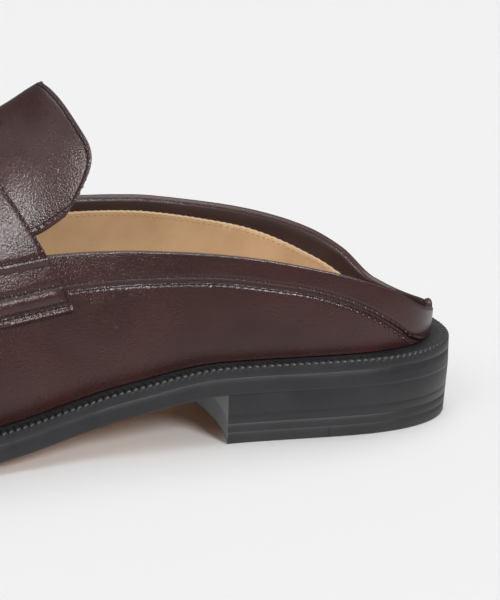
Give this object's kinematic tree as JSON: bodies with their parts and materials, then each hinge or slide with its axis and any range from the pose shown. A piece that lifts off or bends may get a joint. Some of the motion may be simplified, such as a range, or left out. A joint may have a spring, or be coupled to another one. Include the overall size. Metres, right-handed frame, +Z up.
{
  "type": "loafer mule",
  "caption": "Backless leather loafer with a wide saddle strap, raised tongue, low open back, welted leather sole and low stacked heel; left shoe, standing empty",
  "frame": {"origin": "centre of the bounding box's base, on the floor", "axes": "+X from toe to heel, +Y from the outer side to the inner side, +Z up"},
  "size_m": [0.258, 0.0913, 0.0955],
  "materials": {
    "top_piece": "satin black rubber, moulded",
    "black_edge": "stacked leather, sanded, dyed black and waxed",
    "sole_leather": "natural vegetable-tanned leather, lightly buffed",
    "lining": "tan lining leather, smooth and matt",
    "upper_leather": "dark brown calf, smooth, glossy finish"
  },
  "bodies": {
    "root": {"top_piece_rear": "top_piece", "top_piece_front": "top_piece", "heel_lift": "black_edge", "heel_stack": "black_edge", "outsole": "sole_leather", "welt": "black_edge", "insole": "lining", "upper": "upper_leather", "tongue": "upper_leather", "saddle_strap": "upper_leather"}
  },
  "joints": []
}
